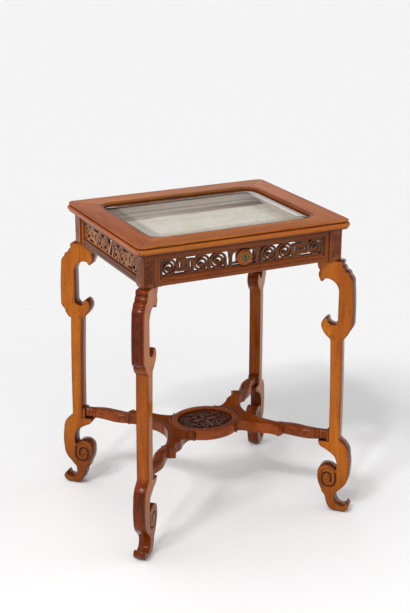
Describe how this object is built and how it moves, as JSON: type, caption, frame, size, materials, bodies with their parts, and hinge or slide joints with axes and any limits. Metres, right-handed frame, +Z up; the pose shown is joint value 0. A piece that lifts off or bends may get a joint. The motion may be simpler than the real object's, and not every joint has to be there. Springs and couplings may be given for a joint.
{
  "type": "collectors display table",
  "caption": "Square glass-topped display table with a shallow silk-lined tray under a hinged bevelled-glass lid, pierced fret frieze, scroll legs and a carved shaped stretcher.",
  "frame": {"origin": "on the floor under the middle of the table", "axes": "+X to the right along the front, +Y from the front to the back where the lid is hinged, +Z up"},
  "size_m": [0.584, 0.488, 0.743],
  "materials": {
    "lid_rail_wood": "gloss varnish",
    "lid_stile_wood": "gloss varnish",
    "bead_wood": "satin varnish",
    "bed_wood": "gloss varnish",
    "post_wood": "gloss varnish",
    "rail_wood": "gloss varnish",
    "side_rail_wood": "gloss varnish",
    "fret_wood": "gloss varnish",
    "leg_wood": "gloss varnish, dark in the recesses",
    "stretcher_wood": "gloss varnish, dark in the recesses",
    "roundel_wood": "gloss varnish over carving",
    "board_wood": "unfinished",
    "glass": "polished, bevelled",
    "old_brass": "patinated",
    "brass": "dull",
    "steel": "dull",
    "silk": "aged silk"
  },
  "bodies": {
    "stand": {"bed_moulding_front": "bed_wood", "bed_moulding_back": "bed_wood", "bed_moulding_left": "bed_wood", "bed_moulding_right": "bed_wood", "corner_post_fr": "post_wood", "corner_post_fl": "post_wood", "corner_post_br": "post_wood", "corner_post_bl": "post_wood", "upper_rail_front": "rail_wood", "upper_rail_back": "rail_wood", "lower_rail_front": "rail_wood", "lower_rail_back": "rail_wood", "upper_rail_left": "side_rail_wood", "upper_rail_right": "side_rail_wood", "lower_rail_left": "side_rail_wood", "lower_rail_right": "side_rail_wood", "fret_front": "fret_wood", "fret_back": "fret_wood", "fret_left": "fret_wood", "fret_right": "fret_wood", "fret_boss": "fret_wood", "keyhole_plate": "old_brass", "hinge_case_leaf_left": "brass", "hinge_case_leaf_right": "brass", "lock_case": "brass", "hinge_case_screws": "brass", "hinge_pin_left": "steel", "hinge_pin_right": "steel", "tray_board": "board_wood", "tray_silk_floor": "silk", "tray_silk_walls": "silk", "leg_fr": "leg_wood", "leg_fl": "leg_wood", "leg_br": "leg_wood", "leg_bl": "leg_wood", "stretcher_ring": "stretcher_wood", "stretcher_yoke_left": "stretcher_wood", "stretcher_yoke_right": "stretcher_wood", "stretcher_bar_fr": "stretcher_wood", "stretcher_bar_fl": "stretcher_wood", "stretcher_bar_br": "stretcher_wood", "stretcher_bar_bl": "stretcher_wood", "stretcher_roundel": "roundel_wood"},
    "lid": {"lid_rail_front": "lid_rail_wood", "lid_rail_back": "lid_rail_wood", "lid_stile_left": "lid_stile_wood", "lid_stile_right": "lid_stile_wood", "lid_glass": "glass", "glass_bead_front": "bead_wood", "glass_bead_back": "bead_wood", "glass_bead_left": "bead_wood", "glass_bead_right": "bead_wood", "hinge_lid_leaf_left": "brass", "hinge_lid_leaf_right": "brass", "lid_screws": "brass", "strike_plate": "brass"},
    "bolt": {"lock_bolt": "steel"}
  },
  "joints": [
    {"name": "lid_hinge", "type": "hinge", "parent": "stand", "child": "lid", "pos_m": [0, 0.2167, 0.7238], "axis": [-1, 0, 0], "range_deg": [0, 95]},
    {"name": "bolt_slide", "type": "slide", "parent": "stand", "child": "bolt", "axis": [0, 0, 1], "range_m": [0, 0.006]}
  ]
}
